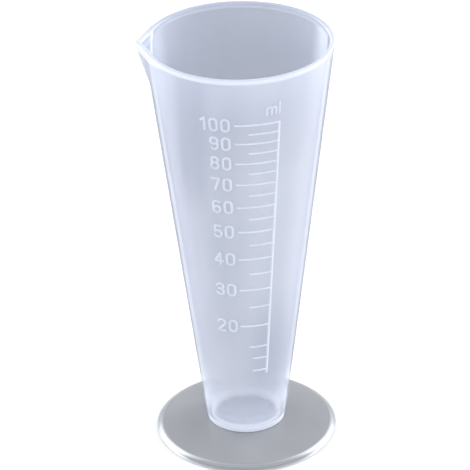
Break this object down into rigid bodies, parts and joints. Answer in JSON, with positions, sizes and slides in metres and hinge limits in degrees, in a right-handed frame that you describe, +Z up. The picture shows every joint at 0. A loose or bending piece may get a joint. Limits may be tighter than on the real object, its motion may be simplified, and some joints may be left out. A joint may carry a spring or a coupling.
{
  "type": "measuring cup",
  "caption": "Conical graduated measuring cup of milky plastic with a pinched pouring spout and a raised millilitre scale, pressed into a clear domed round foot.",
  "frame": {"origin": "on the cup's axis at the plane that the foot stands on", "axes": "+Z up the cup's axis; the spout points along -X and the scale faces -Y"},
  "size_m": [0.0555, 0.053, 0.1255],
  "materials": {
    "cup_plastic": "milky translucent polypropylene, satin gloss",
    "foot_plastic": "clear grey-tinted plastic, polished",
    "scale_relief": "raised moulded marks of the cup's own plastic, lighter where they catch the light"
  },
  "bodies": {
    "root": {"cup_body": "cup_plastic", "foot_disc": "foot_plastic", "scale_lines": "scale_relief", "scale_numerals": "scale_relief"}
  },
  "joints": []
}
